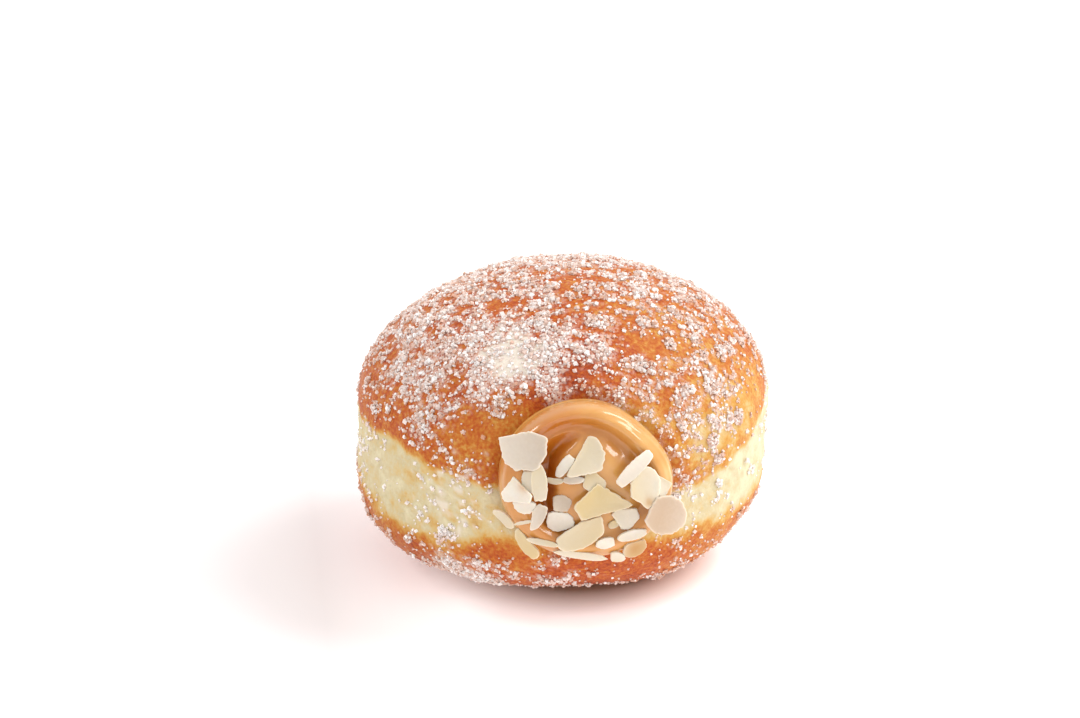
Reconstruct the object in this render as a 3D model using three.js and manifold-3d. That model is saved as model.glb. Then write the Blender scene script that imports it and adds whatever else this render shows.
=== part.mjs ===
// A filled, sugared doughnut standing on its base, in millimetres with +Z up.
// The dough is a fat, slightly lopsided bun with a pale pinched band round its waist.
// Caramel cream fills a pocket in its heart, comes out through a hole in its side and
// ends there in a piped swirl, which faces -Y and carries flaked almonds.
// The origin is the middle of the flat spot that the doughnut rests on.
import * as THREE from "three";
import { mergeVertices } from "three/addons/utils/BufferGeometryUtils.js";
import Module from "manifold-3d";

const wasm = await Module();
wasm.setup();

const degree = Math.PI / 180;

// ---- driving dimensions ----

const bun = {
  radius: 46, // half the breadth at the waist
  crownHeight: 35.2, // waist to top
  bellyDepth: 29.8, // waist to the bottom before the base is flattened
  waistHeight: 29.4, // waist to the flat spot it rests on
  crownFullness: 2.22, // superellipse powers: 2 is round, more is boxier
  bellyFullness: 3.08,
  lean: 0.04, // sideways drift of the crown for each millimetre of height
};

// The pale band that stood clear of the frying oil is drawn in a little.
const band = { halfHeight: 8, pinch: 0.9 };

// Gentle swells and flats that make the bun hand-made: where, how wide, how high.
const swells = [
  { azimuth: -124, latitude: 46, spread: 20, lift: -1.0 },
  { azimuth: -95, latitude: 22, spread: 22, lift: 0.5 },
  { azimuth: 60, latitude: 38, spread: 26, lift: 0.6 },
  { azimuth: 20, latitude: 70, spread: 24, lift: 0.7 },
  { azimuth: 165, latitude: 20, spread: 40, lift: -1.1 },
  { azimuth: -150, latitude: -20, spread: 30, lift: 0.7 },
  { azimuth: 55, latitude: -62, spread: 18, lift: 0.7 },
  { azimuth: 97, latitude: 4, spread: 14, lift: 0.6 },
  { azimuth: -60, latitude: -38, spread: 26, lift: 0.6 },
  { azimuth: 40, latitude: -48, spread: 18, lift: 1.4 },
  { azimuth: -8, latitude: -62, spread: 24, lift: -2.2 },
  { azimuth: -46, latitude: -34, spread: 18, lift: -1.0 },
  { azimuth: 54, latitude: -30, spread: 18, lift: -0.8 },
  { azimuth: 4, latitude: -44, spread: 24, lift: -1.2 },
  { azimuth: 85, latitude: 10, spread: 16, lift: 0.5 },
];

// The hole in the side. Its axis leaves the bun towards -Y, a little upwards.
const hole = {
  height: 6.2, // above the waist
  outset: 45.2, // from the bun's axis to the crust there
  tilt: 10, // degrees above level
  dimple: 3.2, // how far the crust is drawn in round it
  lip: 0.8, // the crust's raised edge round the dimple
};

// The swirl of caramel on the hole: an oval cap with a rope of caramel round its rim,
// cut back at the upper right, where the rope thins out.
const swirl = {
  halfWide: 18.3,
  halfTall: 16.6,
  aside: -0.4, // its middle, to the right of the hole's
  crest: 6.2, // height of its middle above the crust line
  shoulder: 3.3, // height near its rim
  rope: {
    rise: 2.0, // how far the rope stands up from that
    out: 0.82, // where its crest runs, in swirl radii
    halfWidth: 0.12,
    drift: { angle: 120, spread: 38, out: 0.09 }, // the crest runs nearer the rim there
  },
  fold: { rise: 1.0, out: 0.44, halfWidth: 0.16, angle: 45, spread: 42 }, // inside the rope
  cutBack: { angle: 42, spread: 30, share: 0.075 },
};

// Creases between the turns of the rope, each as rows of an angle, a share of the way out
// and a depth. Each flank has its own width.
const creases = [
  {
    path: [
      [175, 0.9, 0], [150, 0.86, 0.9], [122, 0.84, 1.3], [106, 0.8, 1.4], [89, 0.75, 1.4],
      [77, 0.72, 1.4], [66, 0.68, 1.4], [55, 0.65, 1.4], [43, 0.63, 1.4], [29, 0.63, 1.4],
      [10, 0.68, 1.4], [-15, 0.75, 1.3], [-60, 0.8, 1.1], [-100, 0.84, 0],
    ],
    flanks: { outer: 2.4, inner: 3.2 },
  },
  {
    path: [
      [250, 0.62, 0], [215, 0.55, 2.5], [185, 0.48, 4.4], [160, 0.5, 4.8], [139, 0.54, 3.6],
      [111, 0.6, 1.8], [91, 0.68, 0.6], [80, 0.72, 0],
    ],
    flanks: { outer: 2.6, inner: 1.5 },
  },
];

// The filled pocket, as stations along the hole's axis: distance in, and half width.
const pocket = {
  stations: [
    [-1.5, 0],
    [-1.5, 11.5],
    [4, 10.6],
    [12, 9.8],
    [22, 13],
    [32, 17.5],
    [43, 18.5],
    [53, 15.5],
    [59, 9],
    [61, 0],
  ],
  flatness: 0.82, // its height against its width
};

const gap = 0.3; // between dough and filling, which are separate solids

const almond = {
  thickness: 0.9,
  points: 12, // round a small slice
  morePoints: 16, // round one longer than 9 mm
  stuck: 1.2, // cubic millimetres of a flake that are sunk in what it lies on
  dropFrom: 5, // height above the dome from which a flake comes down
  dropStep: 0.15,
};

// A broken slice of almond: place on the swirl, turn in its plane, lean to the right and
// tip upwards in degrees, length and width, then the straight edges where it broke off,
// each as the angle that it faces and its distance from the slice's middle.
function slice(at, turn, [lean, tip], size, ...breaks) {
  return { at, turn, lean, tip, size, breaks };
}

// The flakes, undermost first.
const flakes = [
  slice([-18.0, -7.3], -26, [-10, 4], [6.0, 3.0], [255, 0.9]), // half on the crust
  slice([-12.9, -11.5], -54, [-6, 12], [7.8, 3.8], [98, 1.0]),
  slice([8.7, -13.9], 10, [8, 6], [5.8, 4.6], [80, 1.7]),
  slice([1.3, -16.9], 14, [0, 12], [2.6, 1.1]),
  slice([-7.6, 1.4], -6, [0, 14], [3.9, 1.9], [90, 0.5]),
  slice([-3.8, 1.4], 0, [0, 20], [4.8, 1.9]),
  slice([-6.8, -7.3], -12, [4, 8], [6.4, 4.9], [96, 2.1], [188, 2.7], [300, 2.2]),
  slice([-6.3, -3.6], -24, [6, 6], [4.9, 4.0], [0, 1.9], [205, 1.9], [290, 1.6]),
  slice([-13.3, -2.9], -6, [-8, 4], [5.2, 4.2], [88, 1.0]),
  slice([-12.5, 1.7], 88, [-14, 4], [5.8, 3.4], [0, 2.2]),
  slice([0.3, 0.9], -25, [0, 8], [5.6, 4.6], [190, 2.2], [70, 1.9]),
  slice([-13.5, -6.7], 14, [0, 20], [4.4, 0.9]),
  slice([-9.9, -10.9], -9, [0, 24], [7.2, 1.5]),
  slice([14.6, -0.8], 0, [8, 6], [6.0, 5.4], [58, 1.25], [321, 1.5]),
  slice([2.7, -11.9], 8, [0, 14], [4.8, 2.6], [0, 1.8]),
  slice([4.6, -8.6], 18, [0, 10], [2.9, 1.9]),
  slice([7.1, -7.3], -10, [4, 8], [7.2, 5.4], [98, 2.0], [222, 2.3], [326, 2.5], [30, 2.8]),
  slice([-10.8, -5.0], 62, [8, 8], [6.6, 3.2], [8, 2.7], [110, 1.3]),
  slice([-5.4, 4.5], 50, [-12, 6], [6.2, 2.6], [0, 2.5]),
  slice([-10.5, 1.2], 94, [10, 10], [8.8, 3.6], [180, 3.6]),
  slice([-14.5, -0.4], 0, [-12, 12], [7.2, 7.2], [49, 1.9], [142, 2.8], [268, 2.2]),
  slice([10.1, -0.6], 85, [6, 6], [9.2, 7.6], [50, 3.3], [95, 3.2], [148, 3.2]),
  slice([-2.6, -13.9], -10, [0, 16], [11.8, 1.7]), // long sliver at the bottom
  slice([4.9, -15.2], -20, [0, 8], [4.0, 2.6], [200, 1.4]),
  slice([8.0, -10.7], 6, [2, 16], [7.0, 2.4], [0, 3.2]),
  slice([14.1, -6.4], -22, [2, 6], [10.6, 8.6], [172, 4.4], [42, 4.6]), // round, at the right
  slice([8.2, 3.4], 40, [0, 4], [12.0, 3.2], [0, 5.0], [180, 4.8]), // long strip
  slice(
    [-0.9, 6.5], 0, [-4, 8], [12.0, 12.0],
    [56, 4.0], [25, 3.6], [341, 3.8], [278, 4.0], [148, 1.75],
  ), // tall and pointed
  slice(
    [1.8, -3.4], 0, [2, 10], [14.6, 11.0],
    [56, 3.2], [132, 3.9], [161, 5.4], [209, 5.6], [282, 2.4],
  ), // broad, in the middle
  slice([-2.4, -9.4], 29, [0, 12], [11.6, 6.6], [94, 2.1], [77, 2.4], [338, 4.8]), // leaf-shaped
  slice(
    [-13.2, 7.2], 0, [-4, 8], [13.6, 11.6],
    [100, 4.2], [62, 4.8], [0, 5.0], [196, 4.6], [234, 4.2], [270, 3.9], [327, 4.6],
  ), // fan at the upper left
];

// Crusted sugar: clumps big enough to feel with a finger, thickest where they lie.
const sugar = {
  clumps: 88,
  seed: 11,
  halfWidth: [0.8, 1.7],
  proud: 0.55, // how far a clump stands off the crust
  keepOff: 1.3, // in swirl radii round the hole's axis
};

// Sugar lies in drifts that fade into each other: azimuth, latitude, spread, share covered.
const sugarDrifts = [
  [-92, 48, 16, 0.42], [-72, 38, 12, 0.72], [-62, 62, 14, 0.35], [-50, 44, 8, 0.8],
  [-36, 46, 8, 0.95], [-22, 44, 9, 1.0], [-7, 46, 7, 0.95], [4, 49, 6, 0.8], [-47, 34, 4, 0.1],
  [-34, 35, 5, 1.0], [-11, 35, 5, 0.85], [-58, 25, 8, 0.62], [-44, 23, 6, 0.5],
  [-31, 29, 4, 0.8], [-84, 18, 9, 0.15], [-63, 11, 7, 0.08], [-29, 20, 6, 0], [-21, 27, 5, 0],
  [-37, 9, 8, 0.12], [0, 37, 6, 0.04], [10, 34, 6, 0.6], [22, 35, 6, 0.42], [29, 45, 6, 0.05],
  [44, 42, 7, 0.16], [36, 33, 5, 0.45], [32, 25, 4, 0.5], [42, 19, 6, 0.62], [50, 31, 7, 0.38],
  [62, 38, 8, 0.4], [67, 23, 7, 0.05], [82, 30, 9, 0.3], [57, 14, 6, 0.08], [-28, 72, 14, 0.38],
  [18, 74, 12, 0.02], [5, 60, 8, 0.05], [-20, 58, 8, 0.55], [30, 58, 9, 0.45],
  [70, 60, 14, 0.36], [-36, 1, 6, 0.3], [-62, -4, 12, 0.04], [-88, -3, 14, 0.02],
  [31, 4, 5, 0.35], [55, -3, 14, 0.03], [-52, -17, 8, 0.1], [-38, -27, 7, 0.9],
  [-27, -22, 4, 0.6], [-24, -11, 7, 0.03], [-8, -22, 4, 0.4], [10, -22, 8, 0.04],
  [40, -24, 14, 0.1], [150, 50, 40, 0.5], [-150, 50, 35, 0.5], [180, 0, 40, 0.12],
  [-110, -25, 30, 0.2], [120, -25, 35, 0.15], [0, -75, 30, 0.15],
];

// ---- solids from geometry and back ----

function solidOf(geometry) {
  geometry.deleteAttribute("normal");
  geometry.deleteAttribute("uv");
  const merged = mergeVertices(geometry, 1e-4);
  return new wasm.Manifold(
    new wasm.Mesh({
      numProp: 3,
      vertProperties: new Float32Array(merged.attributes.position.array),
      triVerts: new Uint32Array(merged.index.array),
    }),
  );
}

function geometryOf(solid) {
  const mesh = solid.getMesh();
  return new THREE.BufferGeometry()
    .setAttribute("position", new THREE.BufferAttribute(mesh.vertProperties, 3))
    .setIndex(new THREE.BufferAttribute(mesh.triVerts, 1))
    .toNonIndexed();
}

// A closed skin over rings of points, from a first point to a last one.
function skin(first, rings, last) {
  const around = rings[0].length;
  const places = [first, ...rings.flat(), last];
  const faces = [];
  for (let i = 0; i < around; i++) {
    const next = (i + 1) % around;
    faces.push(0, 1 + next, 1 + i);
    for (let ring = 0; ring + 1 < rings.length; ring++) {
      const low = 1 + ring * around;
      const high = low + around;
      faces.push(low + i, low + next, high + next);
      faces.push(low + i, high + next, high + i);
    }
    const top = 1 + (rings.length - 1) * around;
    faces.push(top + i, top + next, places.length - 1);
  }
  const geometry = new THREE.BufferGeometry().setFromPoints(places);
  geometry.setIndex(faces);
  return geometry;
}

// ---- the bun's surface ----

const waist = new THREE.Vector3(0, 0, bun.waistHeight);

// A unit direction from an azimuth (0 at the front, positive to +X) and a latitude.
function direction(azimuth, latitude) {
  const a = azimuth * degree;
  const l = latitude * degree;
  return new THREE.Vector3(Math.sin(a) * Math.cos(l), -Math.cos(a) * Math.cos(l), Math.sin(l));
}

const holeFrame = new THREE.Matrix4()
  .makeRotationX((90 - hole.tilt) * degree)
  .setPosition(0, -hole.outset, bun.waistHeight + hole.height);
const holeFrameInverse = holeFrame.clone().invert();

function bump(away) {
  return Math.exp(-away * away);
}

// How far round an angle is from another one that is given in degrees.
function degreesOff(angle, at) {
  const off = angle - at * degree;
  return Math.atan2(Math.sin(off), Math.cos(off)) / degree;
}

// The oval's reach is taken in a little where the rope thins out.
function cutBack(angle) {
  return 1 - swirl.cutBack.share * bump(degreesOff(angle, swirl.cutBack.angle) / swirl.cutBack.spread);
}

// Distance from the swirl's middle, in swirl radii.
function swirlRadii(local) {
  const across = (local.x - swirl.aside) / swirl.halfWide;
  const up = local.y / swirl.halfTall;
  return Math.hypot(across, up) / cutBack(Math.atan2(up, across));
}

// The crust in a direction from the waist's middle, moved out by an allowance.
function crustPoint(toward, allowance = 0) {
  const level = Math.hypot(toward.x, toward.y);
  const upper = toward.z >= 0;
  const fullness = upper ? bun.crownFullness : bun.bellyFullness;
  const height = upper ? bun.crownHeight : bun.bellyDepth;
  const share = (level / bun.radius) ** fullness + (Math.abs(toward.z) / height) ** fullness;
  let reach = share ** (-1 / fullness);
  for (const swell of swells) {
    const away = toward.angleTo(direction(swell.azimuth, swell.latitude)) / degree / swell.spread;
    reach += swell.lift * bump(away);
  }
  reach += allowance;
  const drawnIn = band.pinch * bump((reach * toward.z) / band.halfHeight);
  const point = toward.clone().multiplyScalar(reach - drawnIn * level);
  point.x += bun.lean * point.z;
  point.add(waist);
  const local = point.clone().applyMatrix4(holeFrameInverse);
  if (local.z > -bun.radius / 2) {
    const out = swirlRadii(local);
    local.z += hole.lip * bump((out - 1.14) / 0.13) - hole.dimple * bump(out ** 2);
    point.copy(local.applyMatrix4(holeFrame));
  }
  point.z = Math.max(point.z, -allowance);
  return point;
}

// An even ball of triangles, drawn together round the hole, where the form is finest.
function crustSolid(allowance = 0) {
  const ball = new THREE.IcosahedronGeometry(1, 11);
  ball.deleteAttribute("normal");
  ball.deleteAttribute("uv");
  const merged = mergeVertices(ball, 1e-4);
  const places = merged.attributes.position;
  const toward = new THREE.Vector3();
  const holeward = new THREE.Vector3(0, -hole.outset, hole.height).normalize();
  const axis = new THREE.Vector3();
  for (let i = 0; i < places.count; i++) {
    toward.fromBufferAttribute(places, i).normalize();
    const away = toward.angleTo(holeward);
    axis.crossVectors(holeward, toward).normalize();
    toward.copy(holeward).applyAxisAngle(axis, away * (0.66 + (0.34 * away) / Math.PI));
    const point = crustPoint(toward, allowance);
    places.setXYZ(i, point.x, point.y, point.z);
  }
  return solidOf(merged);
}

// ---- the filling ----

// The pocket and the neck of the hole, turned round the hole's axis.
function pocketSolid(allowance = 0) {
  const last = pocket.stations.length - 1;
  const profile = pocket.stations.map(([inward, half], i) => {
    const end = i <= 1 ? -allowance : i === last ? allowance : 0;
    return new THREE.Vector2(half === 0 ? 0 : half + allowance, -(inward + end));
  });
  const turned = new THREE.LatheGeometry(profile.reverse(), 26);
  turned.rotateX(Math.PI / 2);
  turned.scale(1, pocket.flatness, 1);
  turned.applyMatrix4(holeFrame);
  return solidOf(turned);
}

// Height of the caramel over the swirl's plane, without its creases.
function swirlHeight(out, angle) {
  const { rope, fold } = swirl;
  const crestOut = rope.out + rope.drift.out * bump(degreesOff(angle, rope.drift.angle) / rope.drift.spread);
  const dome = (swirl.crest - swirl.shoulder) * (1 - Math.min(out, 1) ** 2);
  const folded = bump(degreesOff(angle, fold.angle) / fold.spread) * bump((out - fold.out) / fold.halfWidth);
  return swirl.shoulder + dome + rope.rise * bump((out - crestOut) / rope.halfWidth) + fold.rise * folded;
}

// How deep the creases cut at a place on the swirl, given as a share out and an angle.
function creaseDepth(out, angle) {
  let deepest = 0;
  for (const { path, flanks } of creases) {
    const [first, last] = [path[0][0], path[path.length - 1][0]];
    const at = last + ((((angle / degree - last) % 360) + 360) % 360);
    if (at > first) continue;
    const leg = path.findIndex(([to], i) => i > 0 && at >= to);
    const [[from, fromOut, fromDepth], [to, toOut, toDepth]] = [path[leg - 1], path[leg]];
    const share = (from - at) / (from - to);
    const away = (out - fromOut - (toOut - fromOut) * share) * swirl.halfWide;
    const flank = away > 0 ? flanks.outer : flanks.inner;
    const depth = fromDepth + (toDepth - fromDepth) * share;
    deepest = Math.max(deepest, depth * bump(away / flank));
  }
  return deepest;
}

function swirlSolid() {
  const around = 56;
  const inner = 15; // rings on the top
  const rings = [];
  const ringAt = (out, heightAt) => {
    const ring = [];
    for (let i = 0; i < around; i++) {
      const angle = (i / around) * 2 * Math.PI;
      const reach = out * cutBack(angle);
      ring.push(
        new THREE.Vector3(
          swirl.aside + swirl.halfWide * reach * Math.cos(angle),
          swirl.halfTall * reach * Math.sin(angle),
          heightAt(angle),
        ),
      );
    }
    rings.push(ring);
  };
  const foot = -hole.dimple - 2;
  const edge = (angle) => swirlHeight(0.92, angle) - creaseDepth(0.92, angle);
  ringAt(0.88, () => foot);
  ringAt(0.985, () => -hole.dimple / 2);
  ringAt(1.0, (angle) => edge(angle) * 0.15);
  ringAt(0.98, (angle) => edge(angle) * 0.58);
  for (let k = 0; k < inner; k++) {
    const out = 0.92 * (1 - k / inner);
    ringAt(out, (angle) => swirlHeight(out, angle) - creaseDepth(out, angle));
  }
  const top = new THREE.Vector3(swirl.aside, 0, swirlHeight(0, 0));
  const cap = skin(new THREE.Vector3(0, 0, foot), rings, top);
  return solidOf(cap.applyMatrix4(holeFrame));
}

// The place and lie of a flake above the swirl's dome, which its rim falls away from.
function flakeMatrix({ at, turn, lean, tip }, off) {
  const [u, v] = at;
  const out = Math.min(Math.hypot(u / swirl.halfWide, v / swirl.halfTall), 1);
  const fall = 2 * (swirl.crest - swirl.shoulder + 2 * out * out);
  const normal = new THREE.Vector3((u * fall) / swirl.halfWide ** 2, (v * fall) / swirl.halfTall ** 2, 1);
  normal.normalize();
  const upright = new THREE.Quaternion().setFromUnitVectors(new THREE.Vector3(0, 0, 1), normal);
  const own = new THREE.Quaternion().setFromEuler(
    new THREE.Euler(-tip * degree, lean * degree, turn * degree, "XYZ"),
  );
  const dome = swirl.shoulder + (swirl.crest - swirl.shoulder) * (1 - out * out) - 1.4 * out ** 6;
  const place = new THREE.Vector3(u, v, dome).addScaledVector(normal, off);
  return new THREE.Matrix4().compose(place, upright.multiply(own), new THREE.Vector3(1, 1, 1));
}

// A slice of almond: an oval broken along straight edges, slightly dished.
function flakeSolid(flake, off) {
  const [halfLong, halfWide] = flake.size.map((side) => side / 2);
  const points = halfLong > 4.5 ? almond.morePoints : almond.points;
  const ring = (height, shrink) =>
    Array.from({ length: points }, (_, i) => {
      const angle = (i / points) * 2 * Math.PI;
      let reach = 1 / Math.hypot(Math.cos(angle) / halfLong, Math.sin(angle) / halfWide);
      for (const [facing, distance] of flake.breaks) {
        const toward = Math.cos(angle - facing * degree);
        if (toward > 0.05) reach = Math.min(reach, distance / toward);
      }
      reach -= shrink;
      return new THREE.Vector3(reach * Math.cos(angle), reach * Math.sin(angle), height);
    });
  const half = almond.thickness / 2;
  const dish = halfWide * 0.09;
  const slice = skin(
    new THREE.Vector3(0, 0, -half - dish),
    [ring(-half, 0.1), ring(half, 0.1)],
    new THREE.Vector3(0, 0, half - dish),
  );
  return solidOf(slice.applyMatrix4(flakeMatrix(flake, off)).applyMatrix4(holeFrame));
}

// ---- sugar crusted on the dough ----

function seededRandom(seed) {
  let state = seed;
  return () => {
    state = (state + 0x6d2b79f5) | 0;
    let mixed = Math.imul(state ^ (state >>> 15), 1 | state);
    mixed = (mixed + Math.imul(mixed ^ (mixed >>> 7), 61 | mixed)) ^ mixed;
    return ((mixed ^ (mixed >>> 14)) >>> 0) / 4294967296;
  };
}

function sugarCover(toward) {
  let weights = 0.001;
  let covered = weights * 0.2;
  for (const [azimuth, latitude, spread, share] of sugarDrifts) {
    const weight = bump(toward.angleTo(direction(azimuth, latitude)) / degree / spread);
    weights += weight;
    covered += weight * share;
  }
  return covered / weights;
}

function clumpSolids() {
  const random = seededRandom(sugar.seed);
  const between = ([low, high]) => low + (high - low) * random();
  const placed = [];
  const solids = [];
  while (solids.length < sugar.clumps) {
    const toward = direction(360 * random(), Math.asin(2 * random() - 1) / degree);
    const wanted = random() < sugarCover(toward);
    const spin = 360 * random();
    const halfWidth = between(sugar.halfWidth);
    const stretch = 0.7 + 0.3 * random();
    const place = crustPoint(toward);
    const local = place.clone().applyMatrix4(holeFrameInverse);
    const nearHole = local.z > -20 && swirlRadii(local) < sugar.keepOff;
    const nearBase = place.z < 5;
    const crowded = placed.some((other) => other.distanceTo(place) < 3.2);
    if (!wanted || nearHole || nearBase || crowded) continue;
    placed.push(place);
    const clump = new THREE.IcosahedronGeometry(1, 0);
    clump.scale(halfWidth, halfWidth * stretch, sugar.proud * 1.3);
    clump.rotateZ(spin * degree);
    const lie = new THREE.Quaternion().setFromUnitVectors(new THREE.Vector3(0, 0, 1), toward);
    clump.applyQuaternion(lie);
    clump.translate(place.x, place.y, place.z);
    solids.push(solidOf(clump));
  }
  return solids;
}

// ---- the two nodes ----

function dough() {
  const hollowed = crustSolid().subtract(pocketSolid(gap));
  return clumpSolids().reduce((whole, clump) => whole.add(clump), hollowed);
}

// Each flake comes down on the pile until it is stuck in it.
function settle(pile, flake) {
  for (let off = almond.dropFrom; ; off -= almond.dropStep) {
    const solid = flakeSolid(flake, off);
    const sunk = pile.intersect(solid).volume();
    if (sunk > Math.min(almond.stuck, solid.volume() / 4)) return pile.add(solid);
  }
}

function filling() {
  return flakes.reduce(settle, swirlSolid()).subtract(crustSolid(gap * 1.3)).add(pocketSolid());
}

function node(name, solid, colour, roughness) {
  const material = new THREE.MeshStandardMaterial({ color: colour, roughness, metalness: 0 });
  const mesh = new THREE.Mesh(geometryOf(solid), material);
  mesh.name = name;
  return mesh;
}

const doughnut = new THREE.Group();
doughnut.name = "filled_doughnut";
doughnut.add(node("sugared_dough", dough(), "#d58a45", 0.6));
doughnut.add(node("caramel_with_almonds", filling(), "#cf9459", 0.3));

export default doughnut;
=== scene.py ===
import bpy
import math
import numpy as np
from mathutils import Matrix, Quaternion, Vector, noise
from mathutils.bvhtree import BVHTree


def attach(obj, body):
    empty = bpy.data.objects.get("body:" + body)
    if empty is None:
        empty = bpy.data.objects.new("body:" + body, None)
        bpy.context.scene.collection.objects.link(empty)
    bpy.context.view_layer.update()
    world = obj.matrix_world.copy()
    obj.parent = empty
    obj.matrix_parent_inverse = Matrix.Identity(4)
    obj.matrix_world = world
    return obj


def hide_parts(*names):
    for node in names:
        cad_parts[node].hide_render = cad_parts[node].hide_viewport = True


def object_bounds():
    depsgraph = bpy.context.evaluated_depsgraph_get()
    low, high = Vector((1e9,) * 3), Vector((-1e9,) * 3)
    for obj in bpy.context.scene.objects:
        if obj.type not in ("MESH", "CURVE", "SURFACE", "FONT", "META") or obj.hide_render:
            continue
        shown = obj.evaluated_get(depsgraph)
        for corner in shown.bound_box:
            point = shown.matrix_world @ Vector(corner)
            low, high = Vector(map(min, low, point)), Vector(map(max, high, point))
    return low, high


# A sugared doughnut filled with caramel cream and topped with flaked almonds.
# Forms are worked out in millimetres, as the solids are, and written in metres.
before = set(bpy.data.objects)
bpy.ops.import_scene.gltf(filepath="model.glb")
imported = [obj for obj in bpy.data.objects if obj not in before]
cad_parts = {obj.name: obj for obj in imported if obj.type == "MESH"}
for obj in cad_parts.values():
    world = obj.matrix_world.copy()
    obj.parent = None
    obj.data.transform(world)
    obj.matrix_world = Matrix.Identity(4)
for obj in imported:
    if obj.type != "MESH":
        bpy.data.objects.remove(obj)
cadBox = [list(corner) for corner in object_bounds()]
mm = 0.001

bun = {
    "radius": 46,
    "crownHeight": 35.2,
    "bellyDepth": 29.8,
    "waistHeight": 29.4,
    "crownFullness": 2.22,
    "bellyFullness": 3.08,
    "lean": 0.04,
    "bandHalf": 8,  # the pale band is drawn in a little
    "bandPinch": 0.9,
    "swells": [  # azimuth, latitude, spread in degrees, lift in mm
        (-124, 46, 20, -1.0), (-95, 22, 22, 0.5), (60, 38, 26, 0.6), (20, 70, 24, 0.7),
        (165, 20, 40, -1.1), (-150, -20, 30, 0.7), (55, -62, 18, 0.7), (97, 4, 14, 0.6),
        (-60, -38, 26, 0.6), (40, -48, 18, 1.4), (-8, -62, 24, -2.2), (-46, -34, 18, -1.0),
        (54, -30, 18, -0.8), (4, -44, 24, -1.2), (85, 10, 16, 0.5),
    ],
}

hole = {
    "height": 6.2,  # over the waist's middle
    "outset": 45.2,
    "tilt": 10,
    "dimple": 3.2,
    "lip": (0.8, 1.14, 0.13),  # rise in mm, then its place and half width as shares of the rim
    "behind": 20,  # how far in from the hole a point may lie and still count as near it
}

swirl = {
    "halfWide": 18.3,
    "halfTall": 16.6,
    "aside": -0.4,
    "crest": 6.2,
    "shoulder": 3.3,
    "ropeRise": 2.0,
    "ropeOut": 0.82,
    "ropeHalf": 0.12,
    "ropeDrift": (120, 38, 0.09),  # angle, spread, share outwards
    "fold": (1.0, 0.44, 0.16, 45, 42),  # rise, share out, half width, angle, spread
    "cutBack": (42, 30, 0.075),  # angle, spread, share inwards
    "ridges": (0.03, 15, 1.5),  # height in mm, number and slant, left by the piping nozzle
    "ridged": (0.6, 0.75, 0.95, 1.02),  # shares out where they begin, are full, fade and end
    "sag": (5.0, 0.22),  # size and height in mm
    "edgeFall": 1.4,  # how much lower a flake lies at the rim
    # painted shade: the crease depth at which the painted crease shade is full
    "fullShadeDepth": 2.7,  # depth in mm at which a crease looks deepest
    # painted shade, darker towards the left side of the swirl
    "leftShade": (8, -8, 0.45),  # mm across where a deeper tone begins and is full, and its step
    "segments": 240,
    "rings": 120,
    "creases": [
        {
            "path": [  # angle, share out, depth in mm
                (175, 0.9, 0), (150, 0.86, 0.9), (122, 0.84, 1.3), (106, 0.8, 1.4), (89, 0.75, 1.4),
                (77, 0.72, 1.4), (66, 0.68, 1.4), (55, 0.65, 1.4), (43, 0.63, 1.4), (29, 0.63, 1.4),
                (10, 0.68, 1.4), (-15, 0.75, 1.3), (-60, 0.8, 1.1), (-100, 0.84, 0),
            ],
            "flanks": (2.4, 3.2),  # how wide they are in mm, outwards and inwards
        },
        {
            "path": [
                (250, 0.62, 0), (215, 0.55, 2.5), (185, 0.48, 4.4), (160, 0.5, 4.8), (139, 0.54, 3.6),
                (111, 0.6, 1.8), (91, 0.68, 0.6), (80, 0.72, 0),
            ],
            "flanks": (2.6, 1.3),
        },
    ],
}

pocket = {
    "stations": [  # distance in from the hole, half width
        (-1.5, 0), (-1.5, 11.5), (4, 10.6), (12, 9.8), (22, 13),
        (32, 17.5), (43, 18.5), (53, 15.5), (59, 9), (61, 0),
    ],
    "flatness": 0.82,
    "gap": 0.3,
    "segments": 48,
    "rings": 36,
}

holeTurn = np.array(Matrix.Rotation(math.radians(90 - hole["tilt"]), 3, "X"))
holePlace = np.array([0, -hole["outset"], bun["waistHeight"] + hole["height"]])


def toHole(points):
    return (points - holePlace) @ holeTurn


def fromHole(points):
    return points @ holeTurn.T + holePlace


def direction(azimuth, latitude):
    a = np.radians(azimuth)
    b = np.radians(latitude)
    return np.stack([np.sin(a) * np.cos(b), -np.cos(a) * np.cos(b), np.sin(b) + 0 * a], -1)


def bump(away):
    return np.exp(-(away**2))


def noiseAt(points, size, seed):
    shift = Vector((seed * 17.3, seed * -9.1, seed * 5.7))
    return np.array([noise.noise(Vector(point) / size + shift) for point in points])


def noiseSum(points, layers, firstSeed):
    seeded = enumerate(layers, firstSeed)
    return sum(weight * noiseAt(points, size, seed) for seed, (size, weight) in seeded)


# How near directions are to a zone's middle: 1 there, fading out over its spread in degrees
def inZone(toward, azimuth, latitude, spread):
    away = np.degrees(np.arccos(np.clip(toward @ direction(azimuth, latitude), -1, 1)))
    return bump(away / spread)


# The same for angles round the swirl
def nearAngle(angle, at, spread):
    off = angle - math.radians(at)
    return bump(np.degrees(np.arctan2(np.sin(off), np.cos(off))) / spread)


def cutBack(angle):
    *zone, share = swirl["cutBack"]
    return 1 - share * nearAngle(angle, *zone)


def swirlRadii(local):
    across = (local[..., 0] - swirl["aside"]) / swirl["halfWide"]
    up = local[..., 1] / swirl["halfTall"]
    return np.hypot(across, up) / cutBack(np.arctan2(up, across))


# Whether points, as seen from the hole, lie within this share of the swirl's rim
def nearSwirl(local, share):
    return (local[..., 2] > -hole["behind"]) & (swirlRadii(local) < share)


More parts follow.
